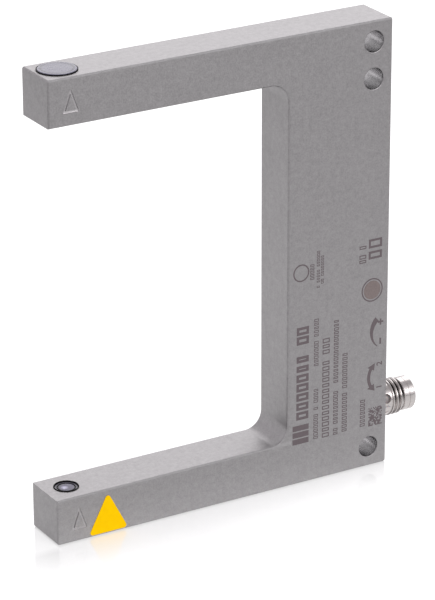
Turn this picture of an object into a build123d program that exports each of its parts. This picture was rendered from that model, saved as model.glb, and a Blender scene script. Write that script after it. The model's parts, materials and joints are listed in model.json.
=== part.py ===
from build123d import *
import os

# Fork light barrier in a one-piece steel housing, standing on its lower arm.
# Millimetres. X runs from the arm tips to the rear edge, Y from the front face
# to the back, Z up. The origin is the middle of the foot face.

# Fork housing
fork_depth = 80.0
fork_height = 100.0
fork_thick = 11.0
arm_height = 10.0
throat_depth = 55.0
throat_radius = 4.0
corner_radius = 0.5
edge_break = 0.35
front_wall = 1.8
rear_wall = 3.0
web_wall = 2.5
cutter_radius = 1.0

# How far a cutting shape runs past the face that it opens
over = 1.0

# Fixing holes, all on one line beside the rear edge
hole_radius = 2.25
hole_edge = 4.5
hole_pitch = 8.0
hole_break = 0.25
hole_wall = 2.0

# Rear cover, bonded flush into a rebate
cover_thick = 1.2
cover_ledge = 1.0
cover_gap = 0.04

# Optical heads, measured from the inner face of each arm
beam_inset = 5.0
chamber_radius = 3.3
seat_radius = 2.7
seat_depth = 1.4
lip_radius = 1.9
lip_thick = 0.6
glass_gap = 0.04
glass_recess = 0.12
ring_wall = 0.22
ring_recess = 0.08
holder_gap = 0.05
collar_length = 2.2
sleeve_radius = 2.85
sleeve_length = 2.3
lens_radius = 2.3
lens_thick = 1.6
lens_curve = 4.2
optic_gap = 0.03
receiver_can_radius = 2.0
laser_can_radius = 1.6
can_height = 1.3
base_thick = 0.5

# Caps that close the heads on the outer faces
cap_radius = 4.0
cap_seal_side = 0.2
cap_seat_depth = 1.3
cap_seal_gap = 0.02
cap_bevel = 0.12
receiver_cap_proud = 0.33
emitter_cap_recess = 0.05

# Flexible leads from the heads to the board
lead_thick = 0.2
lead_width = 2.4
lead_clear = 0.35
chamber_lap = 0.5
pad_radius = 2.4
lead_inset = 6.0
lead_end_length = 1.6

# Circuit board, bonded on a ledge round the pocket
board_thick = 1.0
board_side_gap = 0.7
board_rear_gap = 2.2
board_end_gap = 0.4
web_room = 3.55
ledge_lap = 0.8
socket_width = 5.2
socket_height = 3.0
socket_rise = 1.7
socket_inset = 6.0

# Board parts
processor_size = 6.0
processor_thick = 1.0
processor_rise = 38.0
driver_length = 6.4
driver_width = 3.6
driver_thick = 1.6
driver_rise = 17.0
driver_legs = 3
amplifier_length = 5.0
amplifier_width = 4.0
amplifier_thick = 1.5
amplifier_rise = 49.0
amplifier_legs = 4
leg_width = 0.4
leg_thick = 0.2
leg_reach = 1.0
leg_pitch = 1.27
capacitor_length = 2.0
capacitor_width = 1.25
capacitor_height = 1.3
capacitor_pitch = 3.2
capacitor_count = 5
capacitor_inset = 1.2
capacitor_rise = 20.0

# Adjusters behind the rear edge, turned with a small screwdriver
mode_height = 20.5
sensitivity_height = 30.7
adjuster_radius = 1.7
adjuster_gap = 0.05
adjuster_recess = 0.35
adjuster_flange_radius = 2.15
adjuster_flange_thick = 0.45
adjuster_stem_radius = 0.9
adjuster_stem_length = 2.9
slot_width = 0.5
slot_depth = 0.6
sink_radius = 2.15
sink_depth = 0.4
seal_wire = 0.21
seal_clear = 0.03
seal_back = 1.5
trimmer_height = 3.6
trimmer_width = 4.6
trimmer_length = 3.3
trimmer_gap = 0.3
trimmer_bottom = 0.5
mode_bevel = 0.3
sensitivity_bevel = 0.8

# Round connector on the rear edge
connector_height = 12.3
spigot_radius = 3.4
spigot_reach = 0.4
spigot_gap = 0.05
flange_lap = 0.2
flange_thick = 0.4
neck_radius = 3.7
neck_length = 2.2
thread_radius = 3.95
thread_length = 3.0
thread_bevel = 0.3
relief_radius = 3.4
relief_length = 0.5
collar_radius = 3.65
nose_length = 2.9
rim_bevel = 0.3
shell_bore = 2.95
shell_seal_wire = 0.27
shell_seal_clear = 0.05
light_hole_radius = 1.05
light_hole_place = 1.5
light_hole_turn = 20.0
light_hole_count = 4
light_gap = 0.05
light_inner_radius = 2.25
light_reach = 0.2
insert_radius = 2.2
insert_reach = 0.6
insert_face = 3.4
insert_flange_thick = 0.6
key_width = 0.8
key_height = 0.45
key_length = 3.0
pin_radius = 0.5
pin_gap = 0.02
pin_setback = 1.0
pin_spread = 1.3
pin_low = -0.8
pin_high = 1.3
pin_bevel = 0.2
tail_size = 0.5
tail_inset = 1.5
tail_step = 0.75
tail_clear = 0.12
led_length = 1.6
led_width = 0.8
led_height = 0.7
led_edge = 0.2

# Blank triangular sticker and engraved beam marks on the front face
sticker_width = 9.2
sticker_height = 8.9
sticker_corner = 0.6
sticker_thick = 0.08
sticker_place = 11.7
sticker_rise = 0.4
mark_width = 3.6
mark_height = 5.1
mark_corner = 0.2
mark_line = 0.45
mark_depth = 0.2
mark_rise = 2.7

# Places worked out from the sizes above
x_tip = -fork_depth / 2
x_rear = fork_depth / 2
x_throat = x_tip + throat_depth
x_beam = x_tip + beam_inset
x_inner = x_rear - rear_wall
y_front = -fork_thick / 2
y_back = fork_thick / 2
y_floor = y_front + front_wall
y_seat = y_back - cover_thick
z_lower = arm_height
z_upper = fork_height - arm_height
hole_column = x_rear - hole_edge
hole_heights = [
    hole_edge,
    fork_height - hole_edge - hole_pitch,
    fork_height - hole_edge,
]

ring_radius = seat_radius - glass_gap
glass_radius = ring_radius - ring_wall - glass_gap
holder_start = seat_depth + lip_thick
lens_start = holder_start + optic_gap
sleeve_end = holder_start + collar_length + sleeve_length
pad_end = sleeve_end + lead_thick
lead_low = pad_end - lead_width
lead_start = sleeve_radius + lead_clear / 2
cap_seat_radius = cap_radius + cap_seal_side
cap_floor = arm_height - cap_seat_depth

y_board = -trimmer_height / 2
y_lead = y_board + socket_rise / 2
web_low = connector_height - web_room
web_high = hole_heights[1] - hole_radius - hole_wall
web_left = x_throat + web_wall
board_left = web_left + board_side_gap
board_right = x_inner - board_rear_gap
board_low = web_low + board_end_gap
board_high = web_high - board_end_gap
board_middle = (board_left + board_right) / 2
lead_left = web_left + lead_inset
lead_right = lead_left + lead_width
lead_middle = (lead_left + lead_right) / 2
upper_socket_low = board_high - socket_inset
lower_socket_low = board_low + socket_inset - socket_height
upper_lead_end = upper_socket_low + socket_height - lead_end_length
lower_lead_end = lower_socket_low + lead_end_length

spigot_length = rear_wall + spigot_reach
insert_back = rear_wall + insert_reach
light_back = rear_wall + light_reach
seal_seat_radius = spigot_radius + 2 * (shell_seal_wire + shell_seal_clear)
seal_seat_depth = 2 * shell_seal_wire + shell_seal_clear
flange_radius = seal_seat_radius + flange_lap

neck_end = flange_thick + neck_length
thread_end = neck_end + thread_length
relief_end = thread_end + relief_length
nose_end = relief_end + nose_length
pin_tip = nose_end - pin_setback
guide_radius = shell_bore - light_gap
insert_flange_back = insert_face - insert_flange_thick


def rod(radius, low, high):
    """A cylinder along Z between two heights."""
    return Pos(0, 0, (low + high) / 2) * Cylinder(radius, high - low)


def tube(outer, inner, low, high):
    """A ring along Z between two heights."""
    return rod(outer, low, high) - rod(inner, low - over, high + over)


def block(low, high):
    """A box between two corners."""
    size = [b - a for a, b in zip(low, high)]
    middle = [(a + b) / 2 for a, b in zip(low, high)]
    return Pos(*middle) * Box(*size)


def on_upper(shape):
    """A head part of the upper arm, from the arm's inner face upwards."""
    return Pos(x_beam, 0, z_upper) * shape


def on_lower(shape):
    """A head part of the lower arm, from the arm's inner face downwards."""
    return Pos(x_beam, 0, z_lower) * mirror(shape, about=Plane.XY)


def on_rear(height, shape):
    """A part whose local Z points out of the rear edge at a height."""
    return Pos(x_rear, 0, height) * Rot(0, 90, 0) * shape


def plate(sketch, low, high):
    """A flat shape drawn in X and Z, between two depths in Y."""
    return extrude(Plane.XZ.offset(-high) * sketch, amount=high - low)


def area(left, right, low, high):
    """A rectangle in the plane of the front face."""
    return Pos((left + right) / 2, (low + high) / 2) * Rectangle(right - left, high - low)


def milled_area(left, right, low, high):
    """A rectangle with the corners that a round cutter leaves."""
    return fillet(area(left, right, low, high).vertices(), cutter_radius)


def sharp_triangle(width, height):
    """An upright triangle with its base's middle at the origin."""
    return Polygon((-width / 2, 0), (width / 2, 0), (0, height), align=None)


def triangle(width, height, corner):
    """The same triangle with round corners."""
    return fillet(sharp_triangle(width, height).vertices(), corner)


def tail_places():
    """Each contact's offset in Y and Z, and where its tail meets the board."""
    first = board_right - tail_inset
    return [
        (-pin_spread, pin_low, first),
        (0.0, pin_high, first - tail_step),
        (pin_spread, pin_low, first - 2 * tail_step),
    ]


def tail_block(x, z, room, low, high):
    """A square upright at a contact's place on the board."""
    half = tail_size / 2 + room
    return block((x - half, low, z - half), (x + half, high, z + half))


def web_pocket():
    """Pocket for the board, and the deeper one inside the ledge under it."""
    pocket = milled_area(web_left, x_inner, web_low, web_high)
    relief = milled_area(
        board_left + ledge_lap,
        board_right - ledge_lap,
        board_low + ledge_lap,
        board_high - ledge_lap,
    )
    deep = plate(relief, y_floor, y_back + over)
    return deep + plate(pocket, y_board - board_thick, y_back + over)


def cavity_outline():
    """The milled channel: web pocket, two necks and two arm channels."""
    web = milled_area(web_left, x_inner, web_low, web_high)
    neck = milled_area(
        lead_left - lead_clear,
        lead_right + lead_clear,
        z_lower - pad_end - lead_clear,
        z_upper + pad_end + lead_clear,
    )
    outline = web + neck
    start = x_beam + chamber_radius - chamber_lap
    for low, high in (
        (z_upper + lead_low - lead_clear, z_upper + pad_end + lead_clear),
        (z_lower - pad_end - lead_clear, z_lower - lead_low + lead_clear),
    ):
        outline += milled_area(start, lead_right + lead_clear, low, high)
    return outline


def engraved_mark():
    """Outline triangle cut into the front face over the beam."""
    outer = triangle(mark_width, mark_height, mark_corner)
    inner = offset(sharp_triangle(mark_width, mark_height), -mark_line, kind=Kind.INTERSECTION)
    return outer - inner


def head_cut():
    """The stepped bore of one head."""
    cut = rod(seat_radius, -over, seat_depth)
    cut += rod(lip_radius, 0, arm_height)
    cut += rod(chamber_radius, holder_start, arm_height)
    return cut + rod(cap_seat_radius, cap_floor, arm_height + over)


def fork_body():
    profile = Rectangle(fork_depth, fork_height, align=(Align.CENTER, Align.MIN))
    profile = fillet(profile.vertices(), corner_radius)
    slot_reach = throat_depth + throat_radius
    slot = RectangleRounded(slot_reach, z_upper - z_lower, throat_radius)
    profile -= Pos(x_throat - slot_reach / 2, fork_height / 2) * slot
    body = plate(profile, y_front, y_back)
    rims = body.faces().filter_by(Axis.Y).edges()
    body = chamfer(rims, edge_break)

    cavity = cavity_outline()
    body -= web_pocket()
    body -= plate(cavity, y_lead - lead_clear, y_back + over)
    body -= plate(offset(cavity, cover_ledge), y_seat, y_back + over)
    body -= on_upper(head_cut())
    body -= on_lower(head_cut())

    for height in hole_heights:
        hole = rod(hole_radius, y_front - over, y_back + over)
        for y, turn in ((y_front, 0), (y_back, 180)):
            rim = Cone(hole_radius + hole_break, hole_radius, hole_break)
            hole += Pos(0, 0, y) * Rot(turn, 0, 0) * Pos(0, 0, hole_break / 2) * rim
        body -= Pos(hole_column, 0, height) * Rot(-90, 0, 0) * hole

    body -= on_rear(connector_height, rod(spigot_radius + spigot_gap, -rear_wall - over, over))
    body -= on_rear(connector_height, rod(seal_seat_radius, -seal_seat_depth, over))
    for height in (mode_height, sensitivity_height):
        bore = rod(adjuster_radius + adjuster_gap, -rear_wall - over, over)
        sink = Cone(adjuster_radius + adjuster_gap, sink_radius, sink_depth)
        bore += Pos(0, 0, -sink_depth / 2) * sink
        body -= on_rear(height, bore)

    for base in (mark_rise, z_upper + mark_rise):
        mark = Pos(x_beam, base) * engraved_mark()
        body -= plate(mark, y_front - over, y_front + mark_depth)
    return body


def rear_cover():
    outline = offset(cavity_outline(), cover_ledge - cover_gap)
    return plate(outline, y_seat, y_back)


def window_ring():
    """Black ring that seals the glass in its seat."""
    return tube(ring_radius, ring_radius - ring_wall, ring_recess, seat_depth)


def window_glass():
    """Flat glass on the head's inner lip, nearly flush with the arm."""
    return rod(glass_radius, glass_recess, seat_depth)


def lens_holder():
    """Collar that fills the chamber, and a narrower sleeve behind it."""
    step = holder_start + collar_length
    shape = rod(chamber_radius - holder_gap, holder_start, step)
    shape += rod(sleeve_radius, step, sleeve_end)
    return shape - rod(lens_radius + optic_gap, 0, arm_height)


def lens():
    """Plano-convex lens, its round side towards the window."""
    disc = rod(lens_radius, lens_start, lens_start + lens_thick)
    return disc & Pos(0, 0, lens_start + lens_curve) * Rot(90, 0, 0) * Sphere(lens_curve)


def diode_can(can_radius):
    """Metal can on a base plate, soldered to the lead's pad."""
    base_start = sleeve_end - base_thick
    can = rod(can_radius, base_start - can_height, base_start)
    return can + rod(lens_radius, base_start, sleeve_end)


def head_lead():
    """Pad behind the diode and the start of the strip, in head coordinates."""
    shape = rod(pad_radius, sleeve_end, pad_end)
    shape += block((0, y_lead, sleeve_end), (lead_start + lead_width, -y_lead, pad_end))
    strip_end = lead_right - x_beam
    return shape + block((lead_start, y_lead, lead_low), (strip_end, y_lead + lead_thick, pad_end))


def lead_leg(low, high):
    """The strip's upright run to its socket."""
    return block((lead_left, y_lead, low), (lead_right, y_lead + lead_thick, high))


def cap(proud):
    """Bevelled disc that closes the head on the arm's outer face."""
    disc = rod(cap_radius, cap_floor, arm_height + proud)
    return chamfer(disc.faces().sort_by(Axis.Z)[-1].edges(), cap_bevel)


def cap_seal(proud):
    """Black ring round the disc, up to the disc's bevel."""
    inner = cap_radius + cap_seal_gap
    return tube(cap_seat_radius - cap_seal_gap, inner, cap_floor, arm_height + proud - cap_bevel)


def circuit_board():
    outline = milled_area(board_left, board_right, board_low, board_high)
    board = plate(outline, y_board - board_thick, y_board)
    for _, rise, x in tail_places():
        board -= tail_block(x, connector_height + rise, tail_clear, y_floor, y_back)
    return board


def lead_socket(low):
    """Flat socket on the board with a slot for the lead's end."""
    return block(
        (lead_middle - socket_width / 2, y_board, low),
        (lead_middle + socket_width / 2, y_board + socket_rise, low + socket_height),
    )


def socket_slot(low, high):
    """The slot that takes the lead's end, with a little room all round."""
    return block(
        (lead_left - optic_gap, y_lead - optic_gap, low),
        (lead_right + optic_gap, y_lead + lead_thick + optic_gap, high),
    )


def chip(length, width, thick, rise, legs):
    """Moulded chip on the board with legs along its two long sides."""
    middle = board_low + rise
    body = block(
        (board_middle - length / 2, y_board, middle - width / 2),
        (board_middle + length / 2, y_board + thick, middle + width / 2),
    )
    body = chamfer(body.faces().sort_by(Axis.Y)[-1].edges(), thick / 8)
    reach = width / 2 + leg_reach
    for index in range(legs):
        x = board_middle + (index - (legs - 1) / 2) * leg_pitch
        body += block(
            (x - leg_width / 2, y_board, middle - reach),
            (x + leg_width / 2, y_board + leg_thick, middle + reach),
        )
    return body


def capacitors():
    """A column of small capacitors along the board's front edge."""
    left = board_left + capacitor_inset
    right = left + capacitor_length
    blocks = []
    for index in range(capacitor_count):
        low = board_low + capacitor_rise + index * capacitor_pitch
        high = low + capacitor_width
        blocks.append(block((left, y_board, low), (right, y_board + capacitor_height, high)))
    return Compound(blocks)


def adjuster():
    """Slotted rotor: head in the rear wall, flange behind it, stem in the trimmer."""
    face = -adjuster_recess
    flange_front = -rear_wall - adjuster_gap
    flange_back = flange_front - adjuster_flange_thick
    shape = rod(adjuster_radius, flange_front, face)
    shape += rod(adjuster_flange_radius, flange_back, flange_front)
    shape += rod(adjuster_stem_radius, flange_back - adjuster_stem_length, flange_back)
    half = seal_wire + 2 * seal_clear
    groove_radius = adjuster_radius + adjuster_gap - 2 * (seal_wire + seal_clear)
    shape -= tube(adjuster_radius + over, groove_radius, -seal_back - half, -seal_back + half)
    return shape - block(
        (-adjuster_radius - over, -slot_width / 2, face - slot_depth),
        (adjuster_radius + over, slot_width / 2, face + over),
    )


def adjuster_seal():
    """Small square ring between the rotor's groove and the bore."""
    outer = adjuster_radius + adjuster_gap - seal_clear / 2
    return tube(outer, outer - 2 * seal_wire, -seal_back - seal_wire, -seal_back + seal_wire)


def trimmer(bevel):
    """Trimmer block on the board with a blind bore for the rotor's stem."""
    front = -rear_wall - adjuster_gap - adjuster_flange_thick - trimmer_gap
    back = front - trimmer_length
    shape = block(
        (-trimmer_width / 2, -trimmer_height / 2, back),
        (trimmer_width / 2, trimmer_height / 2, front),
    )
    shape = chamfer(shape.edges().filter_by(Axis.Z), bevel)
    return shape - rod(adjuster_stem_radius + adjuster_gap, back + trimmer_bottom, front + over)


def light_rods(radius, reach):
    """Rods from the connector's axis out through each light window."""
    rods = []
    for index in range(light_hole_count):
        turn = light_hole_turn + index * 360 / light_hole_count
        at = Pos(0, 0, light_hole_place) * Rot(0, 0, turn) * Rot(90, 0, 0)
        rods.append(at * rod(radius, 0, reach))
    return rods


def connector_shell():
    """Turned shell: spigot, flange, neck, thread, relief, nose and socket."""
    shape = rod(spigot_radius, -spigot_length, 0)
    shape += rod(flange_radius, 0, flange_thick)
    shape += rod(neck_radius, flange_thick, neck_end)
    thread = rod(thread_radius, neck_end, thread_end)
    shape += chamfer(thread.edges().filter_by(GeomType.CIRCLE), thread_bevel)
    shape += rod(relief_radius, thread_end, relief_end)
    nose = rod(collar_radius, relief_end, nose_end)
    shape += chamfer(nose.faces().sort_by(Axis.Z)[-1].edges(), rim_bevel)
    shape -= rod(shell_bore, -spigot_length - over, nose_end + over)
    return shape - light_rods(light_hole_radius, neck_radius + over)


def light_guide():
    """Clear sleeve inside the shell with one round window for each hole."""
    shape = rod(guide_radius, -light_back, insert_flange_back - light_gap)
    shape += light_rods(light_hole_radius - light_gap, neck_radius - light_gap)
    return shape - rod(light_inner_radius, -spigot_length - over, insert_face)


def connector_insert():
    """Black core that holds the contacts, with a key rib in the socket."""
    shape = rod(insert_radius, -insert_back, insert_face)
    shape += rod(guide_radius, insert_flange_back, insert_face)
    rib = block(
        (-guide_radius, -key_width / 2, insert_flange_back),
        (key_height - guide_radius, key_width / 2, insert_face + key_length),
    )
    shape += rib & rod(guide_radius, 0, nose_end)
    for y, rise, _ in tail_places():
        hole = rod(pin_radius + pin_gap, -insert_back - over, insert_face + over)
        shape -= Pos(-rise, y, 0) * hole
    return shape


def contact_pins():
    """Three contacts, each with a square tail bent down through the board."""
    pins = []
    half = tail_size / 2
    y_end = y_board - board_thick - tail_clear
    for y, rise, x in tail_places():
        z = connector_height + rise
        front = rod(pin_radius, -insert_back, pin_tip)
        front = chamfer(front.faces().sort_by(Axis.Z)[-1].edges(), pin_bevel)
        pin = Pos(x_rear, y, z) * Rot(0, 90, 0) * front
        pin += block((x - half, y - half, z - half), (x_rear - insert_back, y + half, z + half))
        pins.append(pin + tail_block(x, z, 0, y_end, y + half))
    return Compound(pins)


def connector_seal():
    """Square ring behind the flange, in the housing's counterbore."""
    inner = spigot_radius + shell_seal_clear
    return tube(inner + 2 * shell_seal_wire, inner, shell_seal_clear / 2 - seal_seat_depth, 0)


def indicator_leds():
    """Two lamps on the board at the mouth of the light guide."""
    lamps = []
    front = board_right - led_edge
    for side in (-1, 1):
        z = connector_height + side * (light_inner_radius + shell_bore) / 2
        lamps.append(
            block(
                (front - led_length, y_board, z - led_width / 2),
                (front, y_board + led_height, z + led_width / 2),
            )
        )
    return Compound(lamps)


def marker_label():
    """Blank triangular sticker on the lower arm's front face."""
    outline = Pos(x_tip + sticker_place, sticker_rise) * triangle(
        sticker_width, sticker_height, sticker_corner
    )
    return plate(outline, y_front - sticker_thick, y_front)


upper_slot = socket_slot(upper_lead_end - optic_gap, board_high)
lower_slot = socket_slot(board_low, lower_lead_end + optic_gap)

parts = {
    "fork_body": fork_body(),
    "rear_cover": rear_cover(),
    "receiver_cap": on_upper(cap(receiver_cap_proud)),
    "receiver_cap_seal": on_upper(cap_seal(receiver_cap_proud)),
    "receiver_window": on_upper(window_glass()),
    "receiver_window_ring": on_upper(window_ring()),
    "receiver_lens": on_upper(lens()),
    "receiver_lens_holder": on_upper(lens_holder()),
    "photodiode": on_upper(diode_can(receiver_can_radius)),
    "receiver_lead": on_upper(head_lead()) + lead_leg(upper_lead_end, z_upper + pad_end),
    "receiver_lead_socket": lead_socket(upper_socket_low) - upper_slot,
    "emitter_cap": on_lower(cap(-emitter_cap_recess)),
    "emitter_cap_seal": on_lower(cap_seal(-emitter_cap_recess)),
    "emitter_window": on_lower(window_glass()),
    "emitter_window_ring": on_lower(window_ring()),
    "emitter_lens": on_lower(lens()),
    "emitter_lens_holder": on_lower(lens_holder()),
    "laser_diode": on_lower(diode_can(laser_can_radius)),
    "emitter_lead": on_lower(head_lead()) + lead_leg(z_lower - pad_end, lower_lead_end),
    "emitter_lead_socket": lead_socket(lower_socket_low) - lower_slot,
    "circuit_board": circuit_board(),
    "processor_chip": chip(processor_size, processor_size, processor_thick, processor_rise, 0),
    "output_driver": chip(driver_length, driver_width, driver_thick, driver_rise, driver_legs),
    "amplifier_chip": chip(
        amplifier_length, amplifier_width, amplifier_thick, amplifier_rise, amplifier_legs
    ),
    "capacitors": capacitors(),
    "mode_switch": on_rear(mode_height, trimmer(mode_bevel)),
    "mode_selector": on_rear(mode_height, adjuster()),
    "mode_selector_seal": on_rear(mode_height, adjuster_seal()),
    "sensitivity_trimmer": on_rear(sensitivity_height, trimmer(sensitivity_bevel)),
    "sensitivity_adjuster": on_rear(sensitivity_height, adjuster()),
    "sensitivity_seal": on_rear(sensitivity_height, adjuster_seal()),
    "connector_shell": on_rear(connector_height, connector_shell()),
    "connector_insert": on_rear(connector_height, connector_insert()),
    "contact_pins": contact_pins(),
    "connector_seal": on_rear(connector_height, connector_seal()),
    "light_guide": on_rear(connector_height, light_guide()),
    "indicator_leds": indicator_leds(),
    "marker_label": marker_label(),
}

os.makedirs("parts", exist_ok=True)
for name, shape in parts.items():
    export_step(shape, f"parts/{name}.step")
    print(name, len(shape.solids()), round(shape.volume, 3))
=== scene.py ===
import json
import math

import bmesh
import bpy
from mathutils import Matrix, Vector


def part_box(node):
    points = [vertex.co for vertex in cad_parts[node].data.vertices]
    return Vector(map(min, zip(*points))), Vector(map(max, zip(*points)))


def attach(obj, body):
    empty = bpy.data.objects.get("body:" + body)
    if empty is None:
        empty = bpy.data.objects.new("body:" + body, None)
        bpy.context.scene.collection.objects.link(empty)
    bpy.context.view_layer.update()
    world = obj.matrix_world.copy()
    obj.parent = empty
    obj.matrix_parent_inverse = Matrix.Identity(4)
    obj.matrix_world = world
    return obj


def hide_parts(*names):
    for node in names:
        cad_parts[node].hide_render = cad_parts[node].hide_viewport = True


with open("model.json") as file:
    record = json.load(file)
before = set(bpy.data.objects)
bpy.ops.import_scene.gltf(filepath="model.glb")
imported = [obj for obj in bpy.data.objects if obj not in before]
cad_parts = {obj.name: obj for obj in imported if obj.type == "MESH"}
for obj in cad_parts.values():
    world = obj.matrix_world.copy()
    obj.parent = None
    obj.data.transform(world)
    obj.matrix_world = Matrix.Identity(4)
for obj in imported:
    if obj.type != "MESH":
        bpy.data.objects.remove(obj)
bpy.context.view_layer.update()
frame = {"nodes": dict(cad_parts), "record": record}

# Fork light barrier: finishes for every solid, round shading on the curved ones,
# a threaded connector shell, lips and rings on the windows, the marks on the
# front face, and a white studio. Lengths are in millimetres and become metres
# when a mesh is made. Only the floor's reach, the lamps and the camera's near
# limit are given in metres. X runs to the rear edge, Y to the back, Z upwards.
mm = 0.001
nodes = frame["nodes"]

# Connector shell, stations along its axis from the housing's rear face
connector_height = 12.3
spigot_radius = 3.4
spigot_length = 3.4
flange_radius = 4.24
flange_end = 0.4
neck_radius = 3.7
neck_end = 3.0
root_radius = 3.42
crest_radius = 3.95
thread_end = 5.55
relief_radius = 3.4
relief_end = 6.1
nose_radius = 3.65
nose_end = 9.0
rim_bevel = 0.3
step_bevel = 0.12
root_slope = 0.1
relief_slope = 0.05
bore_bevel = 0.15
line_place = 7.4
line_width = 0.16
line_depth = 0.1
shell_bore = 2.95
thread_pitch = 1.0
thread_start = 2.82
thread_turns = 2.7
thread_crease = 32
light_hole_radius = 1.05
light_hole_length = 2.4
light_hole_place = 1.5
light_hole_middle = 3.4
light_hole_turn = 20.0
light_hole_count = 4
light_hole_segments = 64
shell_segments = 192

# Lips of the window rings, and black rings on the windows that stand for the lens barrel and its shade, at
# the arms' inner faces
lower_inner_face = 10.0
upper_inner_face = 90.0
lip_inner = 2.44
lip_outer = 2.67
lip_proud = 0.2
lip_sunk = 0.1
lip_steps = 8
barrel_inner = 1.72
barrel_outer = 1.98
barrel_proud = 0.03
barrel_sunk = 0.02
beam_segments = 96

# Housing: faces, edges, holes, and the engraved mark on each arm
front_face = -5.5
rear_edge = 40.0
fork_top = 100.0
fork_middle = 50.0
hole_column = 35.5
hole_heights = (4.5, 87.5, 95.5)
hole_radius = 2.25
hole_clearance = 0.04
head_column = -35.0
mark_middles = (5.2, 95.2)
mark_reach = 3.0
mark_depth = 0.8
mark_walls = (0.06, 0.18)
# The upper mark's foot gets a painted highlight from this height, fading over a short rise
upper_mark_foot = 93.1
foot_fade = 0.15
foot_drop = 1.0
# Long front edges: their reach, the share of white in their painted highlight, and how much rougher they
# are
edge_reach = 0.37
edge_highlight = 0.22
edge_dulling = 0.38
throat_column = 16.0

# Marks etched on the front face: low X, high X, low Z and high Z for each bar
etch_proud = 0.012
etch_sunk = 0.02
etch_thickness = etch_proud + etch_sunk
etch_level = front_face + (etch_sunk - etch_proud) / 2
mode_height = 20.5
sensitivity_height = 30.7
arrow_inset = 0.6
arrow_radius = 4.1
arrow_half = 0.38
arrow_sweep = 29.0
head_half = 0.95
head_sweep = 22
wedge_radius = 4.15
wedge_start = -50
wedge_sweep = 98
wedge_thin = 0.08
wedge_growth = 0.58
arc_steps = 24
circle_steps = 64
minus_bars = ((37.9, 38.3, 27.9, 29.3),)
plus_bars = ((37.9, 38.3, 32.3, 33.7), (37.4, 37.9, 32.8, 33.2), (38.3, 38.8, 32.8, 33.2))
block_bars = tuple((16.3, 20.3, low, low + 1.25) for low in (9.2, 10.75, 12.3))
digit_places = (("1", 18.0), ("2", 23.4))
digit_column = 38.6
digit_size = 1.9
digit_spread = 0.04
disc_middle = (35.85, 40.7)
disc_radius = 2.1
disc_ring = (2.65, 2.35)
plain_ring_middle = (18.2, 48.1)
plain_ring = (1.95, 1.65)
cell_middle = (37.1, 11.35)
cell_field = (3.15, 4.0)
cell_seed = 7

# Solids whose curved faces show, copied with smooth shading
smooth_nodes = (
    "fork_body", "rear_cover", "receiver_cap", "receiver_cap_seal", "receiver_window",
    "receiver_window_ring", "receiver_lens", "receiver_lens_holder", "emitter_cap", "emitter_cap_seal",
    "emitter_window", "emitter_window_ring", "emitter_lens", "emitter_lens_holder", "mode_selector",
    "mode_selector_seal", "sensitivity_adjuster", "sensitivity_seal", "connector_insert", "contact_pins",
    "light_guide", "marker_label",
)
merge_distance = 0.002
weld_distance = 0.0005
smooth_limit = 50.0
flat_limit = 1.0

# Range that a noise's values mostly keep to
noise_range = (0.3, 0.7)

# Camera, fitted to the photo's perspective
view_azimuth = -30.58
view_elevation = 22.19
view_roll = -0.18
view_distance = 682.1
view_aim = (-2.2, -5.84, 46.53)
view_lens = 200.1
view_sensor = 36.0
view_clip = 0.05

# Floor: shares of white that it shows by the foot and further out, the dimmer glow by the foot painting
# part of the shadow, painted light past the tip, and how it mirrors
foot_half_length = 40.0
foot_half_width = 5.5
floor_reach = 4.0
painted_shadow_glow = 0.455
open_floor_glow = 0.85
shadow_reach = 24
web_span = (-10, 35)
web_clearing = 1.8
tip_light = 0.17
tip_blend = (-foot_half_length + 0.1, -foot_half_length - 0.4)
tip_reach = 12
tip_side_fade = 2.5
floor_bounce = 0.5
floor_shade = 0.4
floor_polish = 0.27
polish_reach = 14
polish_roughness = 0.04
mirror_glow = 0.54
mirror_fall = 0.4
mirror_reach = 320
mirror_rise = 0.24
mirror_span = 60
mirror_limit = 0.38

# Walls by height, the dark line at the horizon in front, and the lamps
wall_levels = ((0.0, 0.87), (0.72, 0.92), (0.8, 0.46), (0.88, 0.46), (1.0, 0.85))
wall_green = 0.97
horizon_height = 0.11
horizon_level = 0.1
front_span = (-0.5, 0.1)
lamp_aim = (0, 0, 0.05)
lamps = (
    # name, place, size, power
    ("back_lamp", (0.28, 0.42, 0.42), 0.5, 0.9),
    ("front_lamp", (0.26, -0.66, 0.45), 0.38, 2.28),
)


def linear(red, green, blue):
    """A colour given on the 0 to 255 display scale, as the shaders want it."""
    def one(value):
        value /= 255
        return value / 12.92 if value <= 0.04045 else ((value + 0.055) / 1.055) ** 2.4
    return (one(red), one(green), one(blue), 1.0)


def shaded(colour, share):
    """The same colour, lighter or darker by a share."""
    return tuple(min(1.0, value * share) for value in colour[:3]) + (1.0,)


# Shader sockets by the short names that the finishes use
socket_names = {
    "metallic": "Metallic",
    "specular": "Specular IOR Level",
    "transmission": "Transmission Weight",
    "ior": "IOR",
    "subsurface": "Subsurface Weight",
    "subsurface_scale": "Subsurface Scale",
}


def node_maker(tree):
    """Short calls that add a node with its settings and links, do arithmetic, and map a range."""
    def add(kind, links=(), **settings):
        made = tree.nodes.new(kind)
        for key, value in settings.items():
            setattr(made, key, value)
        for target, source in dict(links).items():
            if isinstance(source, bpy.types.NodeSocket):
                tree.links.new(source, made.inputs[target])
            else:
                made.inputs[target].default_value = source
        return made

    def maths(operation, first, second=0.0):
        return add("ShaderNodeMath", {0: first, 1: second}, operation=operation).outputs[0]

    def ramp(value, start, end, low, high, **settings):
        limits = {"Value": value, "From Min": start, "From Max": end, "To Min": low, "To Max": high}
        return add("ShaderNodeMapRange", limits, **settings).outputs["Result"]

    return add, maths, ramp


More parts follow.
